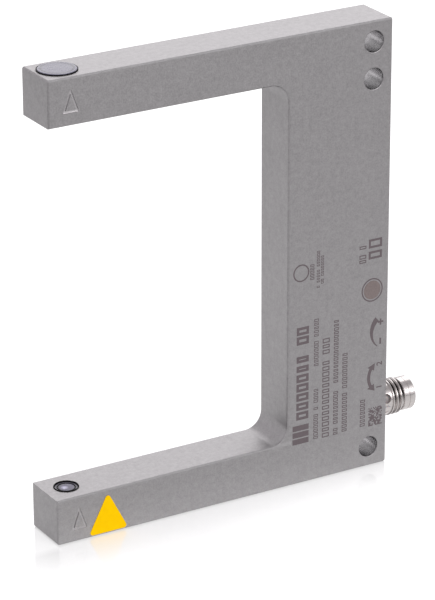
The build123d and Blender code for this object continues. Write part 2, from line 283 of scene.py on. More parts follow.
class Finish:
    """A material with one Principled shader, and short calls to feed it."""

    def __init__(self, name):
        self.material = bpy.data.materials.new(name)
        self.material.use_nodes = True
        self.tree = self.material.node_tree
        self.shader = self.tree.nodes["Principled BSDF"]
        self.node, self.maths, self.ramp = node_maker(self.tree)
        self.place = self.node("ShaderNodeTexCoord").outputs["Object"]

    def set(self, **values):
        """Constants on the shader's own sockets."""
        for key, value in values.items():
            self.shader.inputs[socket_names[key]].default_value = value
        return self

    def add(self, first, second):
        return self.maths("ADD", first, second)

    def times(self, first, second):
        return self.maths("MULTIPLY", first, second)

    def noise(self, size, detail=3.0, stretch=(1, 1, 1)):
        """Noise whose features are about so many millimetres across."""
        spot = self.node("ShaderNodeMapping", {"Vector": self.place, "Scale": stretch}).outputs[0]
        inputs = {"Vector": spot, "Scale": 1 / (size * mm), "Detail": detail, "Roughness": 0.5}
        return self.node("ShaderNodeTexNoise", inputs).outputs["Fac"]

    def spread(self, noise, low, high):
        """Maps the range that a noise mostly keeps to onto another."""
        return self.ramp(noise, *noise_range, low, high)

    def speckle(self, size, detail=2.0):
        """The same noise, stretched to its full range from 0 to 1."""
        return self.spread(self.noise(size, detail), 0.0, 1.0)

    def along(self, name):
        """One coordinate, in millimetres."""
        axes = self.node("ShaderNodeSeparateXYZ", {0: self.place})
        return self.times(axes.outputs[name.upper()], 1 / mm)

    def distance(self, **centre):
        """How far a point lies from an axis, in millimetres, with the axis given by two coordinates."""
        legs = []
        for name, value in centre.items():
            leg = self.maths("SUBTRACT", self.along(name), value)
            legs.append(self.times(leg, leg))
        return self.maths("POWER", self.add(*legs), 0.5)

    def within(self, reach, **centre):
        """1 nearer to an axis than the reach, and 0 further out."""
        return self.maths("LESS_THAN", self.distance(**centre), reach)

    def blend(self, factor, first, second):
        """A mix of two colours, each a value or another node's output."""
        mix = self.node("ShaderNodeMix", {"Factor": factor, 6: first, 7: second}, data_type="RGBA")
        return mix.outputs[2]

    def colour(self, output):
        self.tree.links.new(output, self.shader.inputs["Base Color"])

    def gloss(self, output):
        self.tree.links.new(output, self.shader.inputs["Roughness"])

    def relief(self, height, depth):
        """Bump whose full height is so many millimetres."""
        bump = self.node("ShaderNodeBump", {"Height": height, "Distance": depth * mm})
        self.tree.links.new(bump.outputs["Normal"], self.shader.inputs["Normal"])


def plain_finish(name, colour, roughness, metallic=0.0, grain=0.25, mottle=0.08, depth=0.004, specular=0.5):
    """A finish with a fine grain in its colour, gloss and relief."""
    cloud_size, swing = 14, 0.12
    finish = Finish(name).set(metallic=metallic, specular=specular)
    fine = finish.noise(grain)
    cloud = finish.noise(grain * cloud_size)
    tone = finish.blend(fine, shaded(colour, 1 - mottle), shaded(colour, 1 + mottle))
    finish.colour(finish.blend(cloud, tone, shaded(colour, 1 - mottle / 2)))
    finish.gloss(finish.spread(fine, roughness * (1 - swing), min(1.0, roughness * (1 + swing))))
    finish.relief(fine, depth)
    return finish.material


def blasted_steel():
    """Bead-blasted stainless steel: pitted grain, soft clouds and faint grinding lines.

    The bores are cleaner. The engraved marks carry painted light: their floors are lighter,
    partly as lasered metal and partly to offset their shade, their walls are lightened against
    their shade, and the upper mark's foot has a painted highlight. The long front edges are
    duller and carry a painted highlight.
    """
    darkest, lightest, grain_share, mottle_share, cloud_share = 0.82, 1.18, 0.6, 0.3, 0.1
    # Engraved marks: the floor tone is lighter partly as lasered metal and partly to offset shade, the wall
    # tone lightens walls against their shade, and the foot tone is a painted highlight
    mark_floor, painted_wall_light, foot_highlight, upper_lift = 1.26, 1.6, 1.75, 0.3
    smoothest, roughest, line_swing, bore_polish = 0.42, 0.54, 0.03, 0.24
    relief_depth, line_relief = 0.008, 0.25
    finish = Finish("blasted_steel").set(metallic=1.0)
    steel, bored = linear(163, 161, 162), linear(190, 189, 190)
    grain = finish.speckle(0.34)
    mottle = finish.speckle(1.1)
    cloud = finish.speckle(5.0, 3.0)
    lines = finish.noise(0.5, 2.0, stretch=(1.0, 1.0, 0.06))
    pits = finish.add(finish.times(grain, grain_share), finish.times(mottle, mottle_share))
    pits = finish.add(pits, finish.times(cloud, cloud_share))
    tone = finish.blend(pits, shaded(steel, darkest), shaded(steel, lightest))
    bore, mark = 0.0, 0.0
    for level in hole_heights:
        inside = finish.within(hole_radius + hole_clearance, x=hole_column, z=level)
        bore = finish.maths("MAXIMUM", inside, bore)
    for level in mark_middles:
        inside = finish.within(mark_reach, x=head_column, z=level)
        mark = finish.maths("MAXIMUM", inside, mark)
    # Painted light in the engraved marks: floors and walls lightened against their shade, and a painted
    # highlight along the upper mark's foot
    depth, height = finish.along("y"), finish.along("z")
    mark = finish.times(mark, finish.maths("GREATER_THAN", depth, front_face + mark_walls[0]))
    mark = finish.times(mark, finish.maths("LESS_THAN", depth, front_face + mark_depth))
    upper = finish.times(finish.maths("GREATER_THAN", height, fork_middle), upper_lift)
    carved_and_lit = finish.blend(upper, shaded(steel, mark_floor), shaded(steel, painted_wall_light))
    foot = finish.ramp(height, upper_mark_foot, upper_mark_foot + foot_fade, 1.0, 0.0)
    foot = finish.times(foot, finish.maths("GREATER_THAN", height, upper_mark_foot - foot_drop))
    carved_and_lit = finish.blend(foot, carved_and_lit, shaded(steel, foot_highlight))
    walls = finish.maths("LESS_THAN", depth, front_face + mark_walls[1])
    walls = finish.times(walls, finish.maths("LESS_THAN", height, fork_middle))
    carved_and_lit = finish.blend(walls, carved_and_lit, shaded(steel, painted_wall_light))
    cut = finish.blend(mark, tone, carved_and_lit)
    # Painted highlight: the long front edges are turned paler towards white
    arm = finish.maths("LESS_THAN", finish.along("x"), throat_column)
    lower_edge = finish.times(finish.within(edge_reach, y=front_face, z=lower_inner_face), arm)
    edge = finish.maths("MAXIMUM", finish.within(edge_reach, y=front_face, z=fork_top), lower_edge)
    cut = finish.blend(finish.times(edge, edge_highlight), cut, linear(255, 255, 255))
    finish.colour(finish.blend(bore, cut, bored))
    rough = finish.ramp(grain, 0.0, 1.0, smoothest, roughest)
    rough = finish.add(rough, finish.spread(lines, -line_swing, line_swing))
    rough = finish.add(rough, finish.times(edge, edge_dulling))
    finish.gloss(finish.maths("SUBTRACT", rough, finish.times(bore, bore_polish)))
    finish.relief(finish.add(grain, finish.spread(lines, 0.0, line_relief)), relief_depth)
    return finish.material


def etched_ink(name, ink):
    """Laser annealing on the steel, brown grey and slightly uneven."""
    finish = Finish(name).set(metallic=0.35)
    grain = finish.noise(0.3, 2.0)
    finish.colour(finish.blend(grain, shaded(ink, 0.75), shaded(ink, 1.3)))
    finish.gloss(finish.spread(grain, 0.5, 0.65))
    finish.relief(grain, 0.008)
    return finish.material


def cap_violet():
    """Glossy violet-grey filter disc with a cloudy sheen and a darker ring inside its rim."""
    ring_radius, ring_fade, rim_radii = 3.3, (0.08, 0.32), (3.5, 3.75)
    finish = Finish("cap_violet").set(specular=0.4)
    violet = linear(119, 117, 133)
    cloud = finish.speckle(1.6)
    grain = finish.speckle(0.35)
    tone = finish.blend(cloud, shaded(violet, 0.78), shaded(violet, 1.2))
    tone = finish.blend(finish.times(grain, 0.35), tone, shaded(violet, 0.8))
    radius = finish.distance(x=head_column, y=0.0)
    off = finish.maths("ABSOLUTE", finish.maths("SUBTRACT", radius, ring_radius))
    dark = finish.ramp(off, *ring_fade, 0.9, 0.0)
    rim = finish.ramp(radius, *rim_radii, 0.0, 0.5)
    tone = finish.blend(rim, tone, shaded(violet, 1.1))
    finish.colour(finish.blend(dark, tone, shaded(violet, 0.35)))
    finish.gloss(finish.ramp(cloud, 0.0, 1.0, 0.18, 0.34))
    finish.relief(cloud, 0.03)
    return finish.material


def window_glass():
    """Coated glass, with the lens painted as if seen through it: a painted highlight on the lens, and a
    dark ring round it with a painted shadow, thicker on its back side.
    """
    highlight_radii, lens_radii, barrel_radii = (0.3, 0.9), (1.6, 1.75), (2.0, 2.12)
    finish = Finish("window_glass").set(transmission=0.2, ior=1.3)
    spot, field = linear(214, 212, 238), linear(104, 100, 122)
    barrel, rim = linear(10, 9, 12), linear(112, 110, 118)
    # Painted highlight on the lens, then the lens, then the dark ring whose off-centre inner edge paints
    # the recess's shadow on one side, then the rim
    tone = spot
    for centre, radii, beyond in (
        ((-0.4, 0.0), highlight_radii, field),
        ((0.1, -0.15), lens_radii, barrel),
        ((0.0, 0.0), barrel_radii, rim),
    ):
        radius = finish.distance(x=head_column + centre[0], y=centre[1])
        tone = finish.blend(finish.ramp(radius, *radii, 0.0, 1.0), tone, beyond)
    smear = finish.speckle(0.9)
    finish.colour(finish.blend(finish.times(smear, 0.4), tone, shaded(field, 0.7)))
    finish.gloss(finish.ramp(smear, 0.0, 1.0, 0.04, 0.1))
    return finish.material


def lens_glass():
    """Coated lens, violet-blue and glossy."""
    finish = Finish("lens_glass").set(transmission=0.35, ior=1.52)
    tint = linear(150, 148, 184)
    smear = finish.speckle(0.8)
    finish.colour(finish.blend(smear, shaded(tint, 0.75), shaded(tint, 1.2)))
    finish.gloss(finish.ramp(smear, 0.0, 1.0, 0.06, 0.14))
    return finish.material


def bright_nickel():
    """Plated connector shell with fine turning lines round its axis, and painted shade and reflection
    darkening its thread roots, most on the upper side.
    """
    # Painted shade and reflection in the thread roots: radii, stations, heights, and the faintest share low
    # down
    root_shade_radii = (root_radius + 0.05, crest_radius - 0.12)
    shade_stations = (rear_edge + neck_end, rear_edge + relief_end - 0.02)
    shade_heights, least_shade = (connector_height - 0.6, connector_height + 1.4), 0.12
    finish = Finish("bright_nickel").set(metallic=1.0)
    nickel = linear(212, 207, 205)
    root_shade = linear(40, 37, 36)
    lines = finish.noise(0.12, 2.0, stretch=(1.0, 0.05, 0.05))
    cloud = finish.speckle(1.5)
    unshaded = finish.blend(cloud, shaded(nickel, 0.9), shaded(nickel, 1.05))
    # Painted shade: the thread roots darken, most on the upper side, where they mirror the dark rear edge
    radius = finish.distance(y=0.0, z=connector_height)
    deep = finish.ramp(radius, *root_shade_radii, 1.0, 0.0)
    station = finish.along("x")
    past_neck = finish.maths("GREATER_THAN", station, shade_stations[0])
    threaded = finish.times(past_neck, finish.maths("LESS_THAN", station, shade_stations[1]))
    upper_share = finish.ramp(finish.along("z"), *shade_heights, least_shade, 1.0)
    painted_root_shade = finish.times(finish.times(deep, threaded), upper_share)
    finish.colour(finish.blend(painted_root_shade, unshaded, root_shade))
    finish.gloss(finish.spread(lines, 0.17, 0.27))
    finish.relief(lines, 0.003)
    return finish.material


def light_guide_grey():
    """Smoked translucent plastic of the light windows, painted lighter than its own tone to offset the
    shade in its hole.
    """
    finish = Finish("light_guide_grey").set(subsurface=0.15, subsurface_scale=0.5 * mm)
    # Painted light: the tone is raised to offset the shade inside the hole
    lightened_smoke = linear(168, 160, 161)
    cloud = finish.noise(0.8, 2.0)
    finish.colour(finish.blend(cloud, shaded(lightened_smoke, 0.85), shaded(lightened_smoke, 1.1)))
    finish.gloss(finish.spread(cloud, 0.22, 0.34))
    finish.relief(cloud, 0.006)
    return finish.material


def sticker_yellow():
    """Printed yellow film."""
    finish = Finish("sticker_yellow").set(specular=0.03)
    yellow = linear(255, 204, 0)
    cloud = finish.speckle(1.2)
    finish.colour(finish.blend(cloud, shaded(yellow, 0.94), yellow))
    finish.gloss(finish.ramp(cloud, 0.0, 1.0, 0.32, 0.42))
    finish.relief(finish.noise(0.4, 2.0), 0.004)
    return finish.material


finishes = {
    "housing_steel": blasted_steel(),
    "cap_violet": cap_violet(),
    "seal_rubber": plain_finish(
        "seal_rubber", linear(14, 13, 15), 0.6, grain=0.15, mottle=0.25, specular=0.12
    ),
    "window_glass": window_glass(),
    "lens_glass": lens_glass(),
    "black_plastic": plain_finish("black_plastic", linear(34, 34, 37), 0.42, grain=0.2, mottle=0.2),
    "holder_brass": plain_finish("holder_brass", linear(196, 160, 92), 0.3, 1.0, grain=0.15),
    "can_metal": plain_finish("can_metal", linear(205, 205, 206), 0.22, 1.0, grain=0.15),
    "lead_film": plain_finish("lead_film", linear(186, 120, 42), 0.35, grain=0.4, depth=0.002),
    "board_green": plain_finish("board_green", linear(26, 92, 52), 0.35, grain=0.5, mottle=0.15),
    "chip_black": plain_finish("chip_black", linear(38, 38, 40), 0.6, grain=0.12, mottle=0.2),
    "capacitor_tan": plain_finish("capacitor_tan", linear(178, 148, 112), 0.5, grain=0.15),
    "trimmer_blue": plain_finish("trimmer_blue", linear(44, 92, 160), 0.4, grain=0.2),
    "adjuster_steel": plain_finish("adjuster_steel", linear(186, 184, 182), 0.3, 1.0, grain=0.12),
    "connector_nickel": bright_nickel(),
    "contact_gold": plain_finish("contact_gold", linear(232, 190, 96), 0.22, 1.0, grain=0.12),
    "light_guide_grey": light_guide_grey(),
    "lamp_white": plain_finish("lamp_white", linear(236, 234, 222), 0.4, grain=0.2, mottle=0.04),
    "sticker_yellow": sticker_yellow(),
}


def dress_solids():
    """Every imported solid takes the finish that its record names."""
    for part in frame["record"]["subparts"]:
        solid = nodes[part["node"]]
        solid.data.materials.clear()
        solid.data.materials.append(finishes[part["material_slot"]])


def in_scene(name, data):
    """Puts data in the scene as a new object."""
    made = bpy.data.objects.new(name, data)
    bpy.context.scene.collection.objects.link(made)
    return made


def piece(name, mesh, material, slot, body="fork"):
    """Links a finished mesh as a piece that rides on a body."""
    mesh.materials.clear()
    mesh.materials.append(material)
    made = in_scene(name, mesh)
    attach(made, body)
    return made


def smooth_copies():
    """Curved solids that show get a merged copy, shaded round over fillets and bevels."""
    slot_of = {part["node"]: part["material_slot"] for part in frame["record"]["subparts"]}
    body_of = {
        node: body for body, members in frame["record"]["behaviour"]["bodies"].items() for node in members
    }
    for node in smooth_nodes:
        shape = bmesh.new()
        shape.from_mesh(nodes[node].data)
        bmesh.ops.remove_doubles(shape, verts=shape.verts, dist=merge_distance * mm)
        bmesh.ops.dissolve_degenerate(shape, edges=shape.edges, dist=merge_distance * mm / 2)
        mesh = bpy.data.meshes.new("smooth_" + node)
        shape.to_mesh(mesh)
        shape.free()
        made = piece("smooth_" + node, rounded(mesh), finishes[slot_of[node]], slot_of[node], body_of[node])
        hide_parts(node)


def flat_areas(shape):
    """For each face, the area of the whole flat that it is part of."""
    limit = math.radians(flat_limit)
    areas = {}
    for seed in shape.faces:
        if seed in areas:
            continue
        flat, open_faces = {seed}, [seed]
        while open_faces:
            face = open_faces.pop()
            for edge in face.edges:
                for other in edge.link_faces:
                    whole = face.normal.length > 0 and other.normal.length > 0
                    if other not in flat and whole and face.normal.angle(other.normal) < limit:
                        flat.add(other)
                        open_faces.append(other)
        total = sum(face.calc_area() for face in flat)
        areas.update((face, total) for face in flat)
    return areas


def rounded(mesh):
    """Corner normals that lean towards the larger flat, so that narrow bevels look rounded."""
    shape = bmesh.new()
    shape.from_mesh(mesh)
    areas = flat_areas(shape)
    normals = []
    for face in shape.faces:
        for loop in face.loops:
            lean = Vector()
            for other in loop.vert.link_faces:
                if face.normal.angle(other.normal, 0.0) < math.radians(smooth_limit):
                    lean += other.normal * areas[other]
            normals.append((lean if lean.length > 0 else face.normal).normalized())
    shape.free()
    mesh.shade_smooth()
    mesh.normals_split_custom_set(normals)
    return mesh


def mesh_of(shape, name):
    """Welds a bmesh and gives it as a mesh with its faces outwards."""
    bmesh.ops.remove_doubles(shape, verts=shape.verts, dist=weld_distance * mm)
    bmesh.ops.recalc_face_normals(shape, faces=shape.faces)
    mesh = bpy.data.meshes.new(name)
    shape.to_mesh(mesh)
    shape.free()
    return mesh


def joined(meshes, name):
    """One mesh that holds several."""
    shape = bmesh.new()
    for mesh in meshes:
        shape.from_mesh(mesh)
    made = bpy.data.meshes.new(name)
    shape.to_mesh(made)
    shape.free()
    return made


def final_mesh(holder):
    """A plain mesh of an object as its modifiers leave it."""
    bpy.context.view_layer.update()
    graph = bpy.context.evaluated_depsgraph_get()
    return bpy.data.meshes.new_from_object(holder.evaluated_get(graph), depsgraph=graph)


def smooth(mesh, angle=30.0):
    """Smooth shading that keeps the edges sharper than the angle."""
    mesh.shade_smooth()
    mesh.set_sharp_from_angle(angle=math.radians(angle))
    return mesh


def about_connector(station, radius, turn):
    """A point round the connector's axis."""
    return (rear_edge + station, radius * math.cos(turn), connector_height + radius * math.sin(turn))


def about_beam(station, radius, turn):
    """A point round the light beam's axis."""
    return (head_column + radius * math.cos(turn), radius * math.sin(turn), station)


def revolved(profile, segments, place):
    """Turns closed (station, radius) points about an axis."""
    shape = bmesh.new()
    rings = []
    for index in range(segments):
        turn = 2 * math.pi * index / segments
        rings.append([shape.verts.new(Vector(place(*point, turn)) * mm) for point in profile])
    for index in range(segments):
        near, far = rings[index], rings[(index + 1) % segments]
        for step in range(len(profile)):
            after = (step + 1) % len(profile)
            shape.faces.new((near[step], near[after], far[after], far[step]))
    return shape


def shell_profile():
    """The turned shell's section, with the thread's core in its place."""
    line_floor = nose_radius - line_depth
    return [
        (-spigot_length, shell_bore),
        (-spigot_length, spigot_radius),
        (0, spigot_radius),
        (0, flange_radius),
        (flange_end, flange_radius),
        (flange_end, neck_radius),
        (neck_end - step_bevel, neck_radius),
        (neck_end, neck_radius - step_bevel),
        (neck_end + root_slope, root_radius),
        (thread_end, root_radius),
        (thread_end + relief_slope, relief_radius),
        (relief_end, relief_radius),
        (relief_end, nose_radius - step_bevel),
        (relief_end + step_bevel, nose_radius),
        (line_place - line_width / 2, nose_radius),
        (line_place - line_width / 4, line_floor),
        (line_place + line_width / 4, line_floor),
        (line_place + line_width / 2, nose_radius),
        (nose_end - rim_bevel, nose_radius),
        (nose_end, nose_radius - rim_bevel),
        (nose_end, shell_bore + bore_bevel),
        (nose_end - bore_bevel, shell_bore),
    ]


def socket(tree, name, kind, value):
    """A named input of a node tree."""
    tree.interface.new_socket(name=name, in_out="INPUT", socket_type=kind).default_value = value


def evaluated(tree, values, name):
    """A plain mesh of what a node tree makes with these values in its named inputs."""
    carrier = in_scene(name, bpy.data.meshes.new(name))
    modifier = carrier.modifiers.new(name, "NODES")
    modifier.node_group = tree
    for item in tree.interface.items_tree:
        if item.in_out == "INPUT" and item.name in values:
            modifier[item.identifier] = values[item.name]
    carrier.update_tag()
    made = final_mesh(carrier)
    carrier.modifiers.clear()
    bpy.data.objects.remove(carrier)
    return made


def tree_tools(name, inputs):
    """A geometry tree with named inputs, and short calls to fill and end it."""
    tree = bpy.data.node_groups.new(name, "GeometryNodeTree")
    tree.interface.new_socket(name="Geometry", in_out="INPUT", socket_type="NodeSocketGeometry")
    for label, (kind, value) in inputs.items():
        socket(tree, label, "NodeSocket" + kind, value)
    socket(tree, "Material", "NodeSocketMaterial", None)
    tree.interface.new_socket(name="Geometry", in_out="OUTPUT", socket_type="NodeSocketGeometry")
    add, maths, _ = node_maker(tree)
    given = add("NodeGroupInput").outputs

    def finish(geometry):
        plain = add("GeometryNodeRealizeInstances", {"Geometry": geometry}).outputs[0]
        dressed = add("GeometryNodeSetMaterial", {"Geometry": plain, "Material": given["Material"]})
        add("NodeGroupOutput", {"Geometry": dressed.outputs[0]})

    return tree, add, given, maths, finish


def thread_tree():
    """A ridge along a helix about Z, thinner at its two ends."""
    fade, thinnest, steps_per_turn = 9.0, 0.15, 128
    foot_share, crest_share, sunk_share = 0.49, 0.1, 0.3
    tree, add, given, maths, finish = tree_tools("thread_ridge", {
        "Root radius": ("Float", root_radius * mm),
        "Crest radius": ("Float", crest_radius * mm),
        "Pitch": ("Float", thread_pitch * mm),
        "Turns": ("Float", thread_turns),
    })
    rise = maths("MULTIPLY", given["Pitch"], given["Turns"])
    spiral = add("GeometryNodeCurveSpiral", {
        "Resolution": steps_per_turn,
        "Rotations": given["Turns"],
        "Start Radius": given["Root radius"],
        "End Radius": given["Root radius"],
        "Height": rise,
    }).outputs[0]
    upright = add("GeometryNodeSetCurveNormal", {"Curve": spiral}, mode="Z_UP").outputs[0]
    along = add("GeometryNodeSplineParameter").outputs["Factor"]
    ends = maths("MINIMUM", along, maths("SUBTRACT", 1.0, along))
    grown = maths("MINIMUM", maths("ADD", maths("MULTIPLY", ends, fade), thinnest), 1.0)
    sized = add("GeometryNodeSetCurveRadius", {"Curve": upright, "Radius": grown}).outputs[0]
    depth = maths("SUBTRACT", given["Crest radius"], given["Root radius"])
    foot = maths("MULTIPLY", given["Pitch"], foot_share)
    crest = maths("MULTIPLY", given["Pitch"], crest_share)
    corners = {}
    for side, width, level in (
        (-1.0, foot, sunk_share),
        (-1.0, crest, -1.0),
        (1.0, crest, -1.0),
        (1.0, foot, sunk_share),
    ):
        corner = {"X": maths("MULTIPLY", depth, level), "Y": maths("MULTIPLY", width, side)}
        corners["Point %d" % (len(corners) + 1)] = add("ShaderNodeCombineXYZ", corner).outputs[0]
    section = add("GeometryNodeCurvePrimitiveQuadrilateral", corners, mode="POINTS").outputs[0]
    ridge = add("GeometryNodeCurveToMesh", {
        "Curve": sized,
        "Profile Curve": section,
        "Fill Caps": True,
    }).outputs[0]
    finish(ridge)
    return tree


def light_hole_drill():
    """The cylinders that cut the light holes through the neck."""
    drill = bmesh.new()
    for index in range(light_hole_count):
        turn = math.radians(light_hole_turn + 360 / light_hole_count * index)
        out = Vector((0, -math.cos(turn), math.sin(turn)))
        middle = Vector((rear_edge + light_hole_place, 0, connector_height)) + out * light_hole_middle
        aim = out.to_track_quat("Z", "X").to_matrix().to_4x4()
        bmesh.ops.create_cone(
            drill,
            cap_ends=True,
            segments=light_hole_segments,
            radius1=light_hole_radius * mm,
            radius2=light_hole_radius * mm,
            depth=light_hole_length * mm,
            matrix=Matrix.Translation(middle * mm) @ aim,
        )
    return mesh_of(drill, "shell_drill")


def threaded_shell():
    """The turned shell with light holes through its neck and a real thread."""
    nickel = finishes["connector_nickel"]
    turned = mesh_of(revolved(shell_profile(), shell_segments, about_connector), "shell_blank")
    shell = in_scene("shell_blank", turned)
    cutter = in_scene("shell_drill", light_hole_drill())
    cut = shell.modifiers.new("holes", "BOOLEAN")
    cut.operation = "DIFFERENCE"
    cut.solver = "EXACT"
    cut.object = cutter
    body = final_mesh(shell)
    ridge = evaluated(thread_tree(), {
        "Root radius": root_radius * mm,
        "Crest radius": crest_radius * mm,
        "Pitch": thread_pitch * mm,
        "Turns": thread_turns,
        "Material": nickel,
    }, "thread_ridge")
    start = Vector((rear_edge + thread_start, 0, connector_height)) * mm
    ridge.transform(Matrix.Translation(start) @ Matrix.Rotation(math.radians(90), 4, "Y"))
    mesh = joined((body, ridge), "threaded_shell")
    bpy.data.objects.remove(shell)
    bpy.data.objects.remove(cutter)
    made = piece("threaded_shell", smooth(mesh, thread_crease), nickel, "connector_nickel")
    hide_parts("connector_shell")


def window_lips():
    """The soft lip of each window ring, which stands a little above the arm's inner face."""
    half = (lip_outer - lip_inner) / 2
    lips = []
    for level, out in ((lower_inner_face, 1), (upper_inner_face, -1)):
        profile = [(level - out * lip_sunk, lip_inner), (level - out * lip_sunk, lip_outer)]
        for step in range(lip_steps + 1):
            turn = math.pi * step / lip_steps
            rise = lip_proud - half + half * math.sin(turn)
            profile.append((level + out * rise, lip_inner + half + half * math.cos(turn)))
        lips.append(mesh_of(revolved(profile, beam_segments, about_beam), "lip"))
    piece("window_lips", smooth(joined(lips, "window_lips")), finishes["seal_rubber"], "seal_rubber")


def barrel_shade_rings():
    """A black ring on each window round its lens, standing for the lens barrel and its shade under the
    glass.
    """
    dark_rings = []
    for node, corner, out in (("emitter_window", 1, 1), ("receiver_window", 0, -1)):
        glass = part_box(node)[corner][2] / mm
        low, high = glass - out * barrel_sunk, glass + out * barrel_proud
        profile = [(low, barrel_inner), (low, barrel_outer), (high, barrel_outer), (high, barrel_inner)]
        dark_rings.append(mesh_of(revolved(profile, beam_segments, about_beam), "mask"))
    piece("barrel_shade_rings", smooth(joined(dark_rings, "barrel_shade_rings")), finishes["seal_rubber"], "seal_rubber")


def flat_solid(outlines, name):
    """Thin solids on the front face from outlines of (X, Z) points."""
    shape = bmesh.new()
    for outline in outlines:
        front = [shape.verts.new(Vector((x, front_face - etch_proud, z)) * mm) for x, z in outline]
        back = [shape.verts.new(Vector((x, front_face + etch_sunk, z)) * mm) for x, z in outline]
        shape.faces.new(front)
        shape.faces.new(back[::-1])
        for index in range(len(outline)):
            after = (index + 1) % len(outline)
            shape.faces.new((front[index], back[index], back[after], front[after]))
    return mesh_of(shape, name)


def arc_point(radius, degrees):
    """A point about an adjuster's axis, at an angle from -X upwards."""
    angle = math.radians(degrees)
    return (rear_edge - radius * math.cos(angle), radius * math.sin(angle))


def arc_points(radius, low, high):
    """Points along an arc about an adjuster's axis."""
    return [arc_point(radius, low + (high - low) * step / arc_steps) for step in range(arc_steps + 1)]


def moved(points, height, inset=0.0):
    """The same points, raised to an adjuster's height and set in from the rear edge."""
    return [(x - inset, z + height) for x, z in points]


def mode_arrow():
    """Double-headed arc beside the mode selector."""
    outer = arc_points(arrow_radius + arrow_half, -arrow_sweep, arrow_sweep)
    inner = arc_points(arrow_radius - arrow_half, arrow_sweep, -arrow_sweep)
    outlines = [outer + inner]
    for side in (-1, 1):
        base_out = arc_point(arrow_radius + head_half, side * arrow_sweep)
        base_in = arc_point(arrow_radius - head_half, side * arrow_sweep)
        tip = arc_point(arrow_radius, side * (arrow_sweep + head_sweep))
        outlines.append([base_out, tip, base_in])
    return [moved(outline, mode_height, arrow_inset) for outline in outlines]


def sensitivity_wedge():
    """Tapered arc beside the sensitivity adjuster, thick at its high end."""
    outer, inner = [], []
    for step in range(arc_steps + 1):
        share = step / arc_steps
        degrees = wedge_start + wedge_sweep * share
        half = wedge_thin + wedge_growth * share
        outer.append(arc_point(wedge_radius + half, degrees))
        inner.append(arc_point(wedge_radius - half, degrees))
    return [moved(outer + inner[::-1], sensitivity_height)]


def bar(low_x, high_x, low_z, high_z):
    """Outline of an upright rectangle."""
    return [(low_x, low_z), (high_x, low_z), (high_x, high_z), (low_x, high_z)]


def digit(text, height):
    """A plain digit that reads upwards, with its middle at a height."""
    curve = bpy.data.curves.new("digit", "FONT")
    curve.body = text
    curve.size = digit_size
    curve.offset = digit_spread
    curve.align_x = "CENTER"
    curve.extrude = etch_thickness / 2
    curve.resolution_u = 4
    holder = in_scene("digit", curve)
    mesh = final_mesh(holder)
    bpy.data.objects.remove(holder)
    stand = Matrix.Rotation(math.radians(90), 4, "X") @ Matrix.Rotation(math.radians(90), 4, "Z")
    mesh.transform(Matrix.Scale(mm, 4) @ Matrix.Translation((digit_column, etch_level, height)) @ stand)
    return mesh


def adjuster_marks():
    """Arcs, plain digits and plus and minus signs beside the adjusters."""
    outlines = mode_arrow() + sensitivity_wedge() + [bar(*sides) for sides in minus_bars + plus_bars]
    meshes = [flat_solid(outlines, "signs")]
    meshes += [digit(text, height) for text, height in digit_places]
    piece("adjuster_marks", joined(meshes, "adjuster_marks"), etched, "housing_steel")


def frame_row_tree():
    """A row of small open rectangles along Z, of uneven width, with gaps between groups."""
    gap_share, narrowest, widest = 0.13, 0.6, 0.86
    tree, add, given, maths, finish = tree_tools("etched_row", {
        "Start": ("Vector", (0, 0, 0)),
        "Length": ("Float", 10 * mm),
        "Height": ("Float", 1 * mm),
        "Pitch": ("Float", 1 * mm),
        "Stroke": ("Float", 0.2 * mm),
        "Thickness": ("Float", 0.03 * mm),
        "Seed": ("Int", 1),
    })
    count = maths("FLOOR", maths("DIVIDE", given["Length"], given["Pitch"]))
    step = add("ShaderNodeCombineXYZ", {"Z": given["Pitch"]}).outputs[0]
    half = add("ShaderNodeCombineXYZ", {"Z": maths("MULTIPLY", given["Pitch"], 0.5)}).outputs[0]
    first = add("ShaderNodeVectorMath", {0: given["Start"], 1: half}, operation="ADD").outputs[0]
    line = add("GeometryNodeMeshLine", {
        "Count": count, "Start Location": first, "Offset": step,
    }).outputs[0]
    space = add("FunctionNodeRandomValue", {
        "Probability": gap_share, "Seed": given["Seed"],
    }, data_type="BOOLEAN").outputs[3]
    groups = add("GeometryNodeDeleteGeometry", {"Geometry": line, "Selection": space}).outputs[0]
    share = add("FunctionNodeRandomValue", {
        2: narrowest, 3: widest, "Seed": given["Seed"],
    }, data_type="FLOAT").outputs[1]
    width = maths("MULTIPLY", given["Pitch"], share)
    between = maths("SUBTRACT", width, maths("MULTIPLY", given["Stroke"], 2.0))
    cube = add("GeometryNodeMeshCube", {"Size": (1, 1, 1)}).outputs[0]
    frames = add("GeometryNodeJoinGeometry")
    for axis, reach, size in (
        ("Z", width, {"X": given["Height"], "Y": given["Thickness"], "Z": given["Stroke"]}),
        ("X", given["Height"], {"X": given["Stroke"], "Y": given["Thickness"], "Z": between}),
    ):
        away = maths("MULTIPLY", maths("SUBTRACT", reach, given["Stroke"]), 0.5)
        for side in (-1.0, 1.0):
            shift = add("ShaderNodeCombineXYZ", {axis: maths("MULTIPLY", away, side)}).outputs[0]
            placed = add("GeometryNodeSetPosition", {"Geometry": groups, "Offset": shift}).outputs[0]
            strokes = add("GeometryNodeInstanceOnPoints", {
                "Points": placed,
                "Instance": cube,
                "Scale": add("ShaderNodeCombineXYZ", size).outputs[0],
            }).outputs[0]
            tree.links.new(strokes, frames.inputs[0])
    finish(frames.outputs[0])
    return tree


